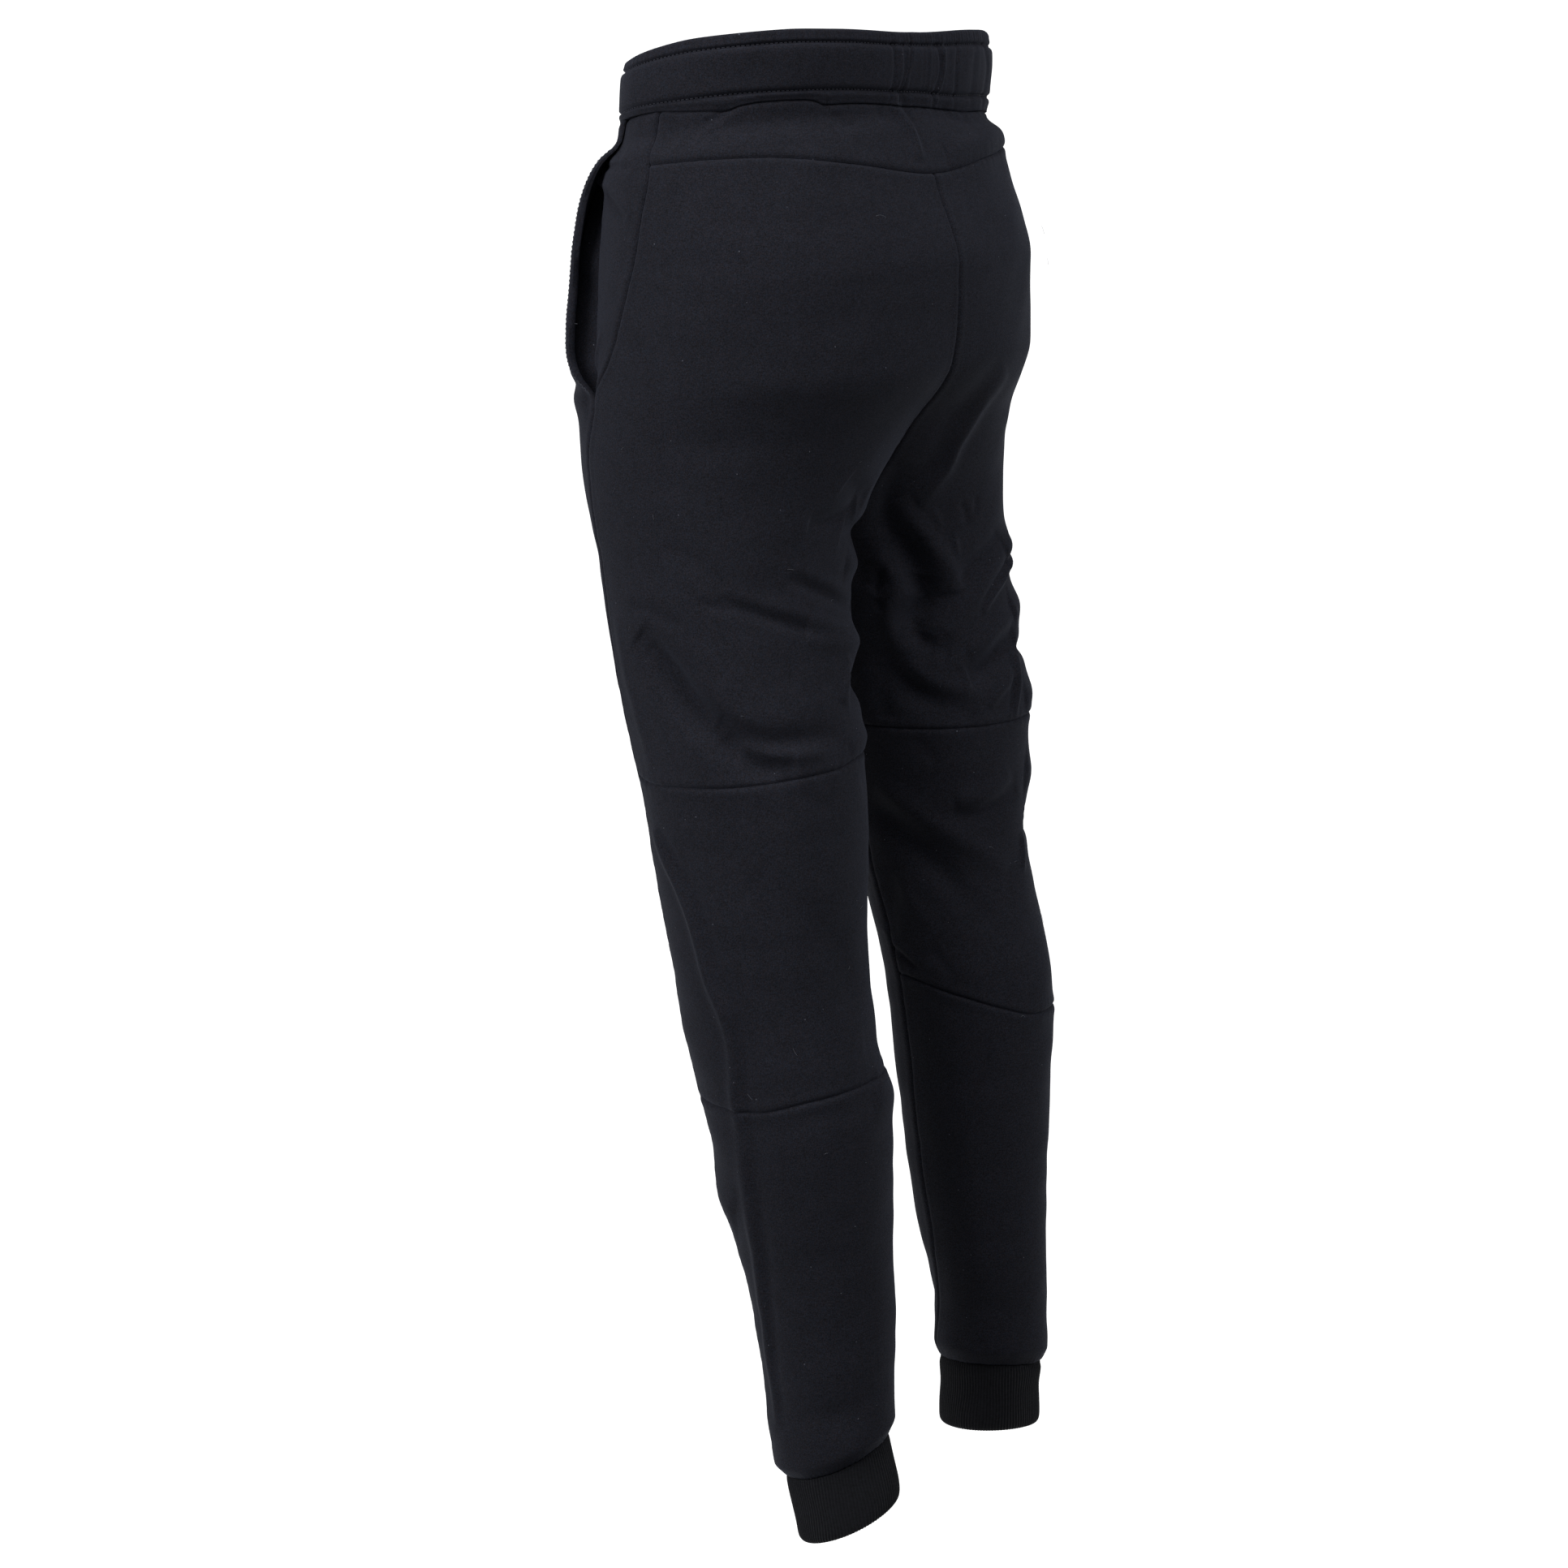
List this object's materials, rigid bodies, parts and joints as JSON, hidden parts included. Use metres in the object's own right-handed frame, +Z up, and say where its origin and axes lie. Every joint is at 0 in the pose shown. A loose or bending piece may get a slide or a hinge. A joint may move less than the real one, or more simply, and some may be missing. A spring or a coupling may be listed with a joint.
{
  "type": "jogger sweatpants",
  "caption": "Tapered jogger sweatpants in plain fleece, filled out as worn, with an elastic waistband, a back yoke, slanted side pockets, knee seams and ribbed ankle cuffs.",
  "frame": {"origin": "middle of the waistband, where the wearer's waist holds the garment up", "axes": "+Z up along the garment to its waist, -Y towards its front, +X towards the wearer's left"},
  "size_m": [0.36, 0.2687, 1.0356],
  "materials": {
    "fleece": "matt brushed dark navy fleece",
    "rib": "matt near-black rib knit"
  },
  "bodies": {
    "root": {"waistband": "fleece", "back_yoke": "fleece", "back_thigh_left": "fleece", "back_thigh_right": "fleece", "back_knee_left": "fleece", "back_knee_right": "fleece", "back_calf_left": "fleece", "back_calf_right": "fleece", "side_panel_left": "fleece", "side_panel_right": "fleece", "front_left": "fleece", "front_right": "fleece", "cuff_left": "rib", "cuff_right": "rib"}
  },
  "joints": []
}
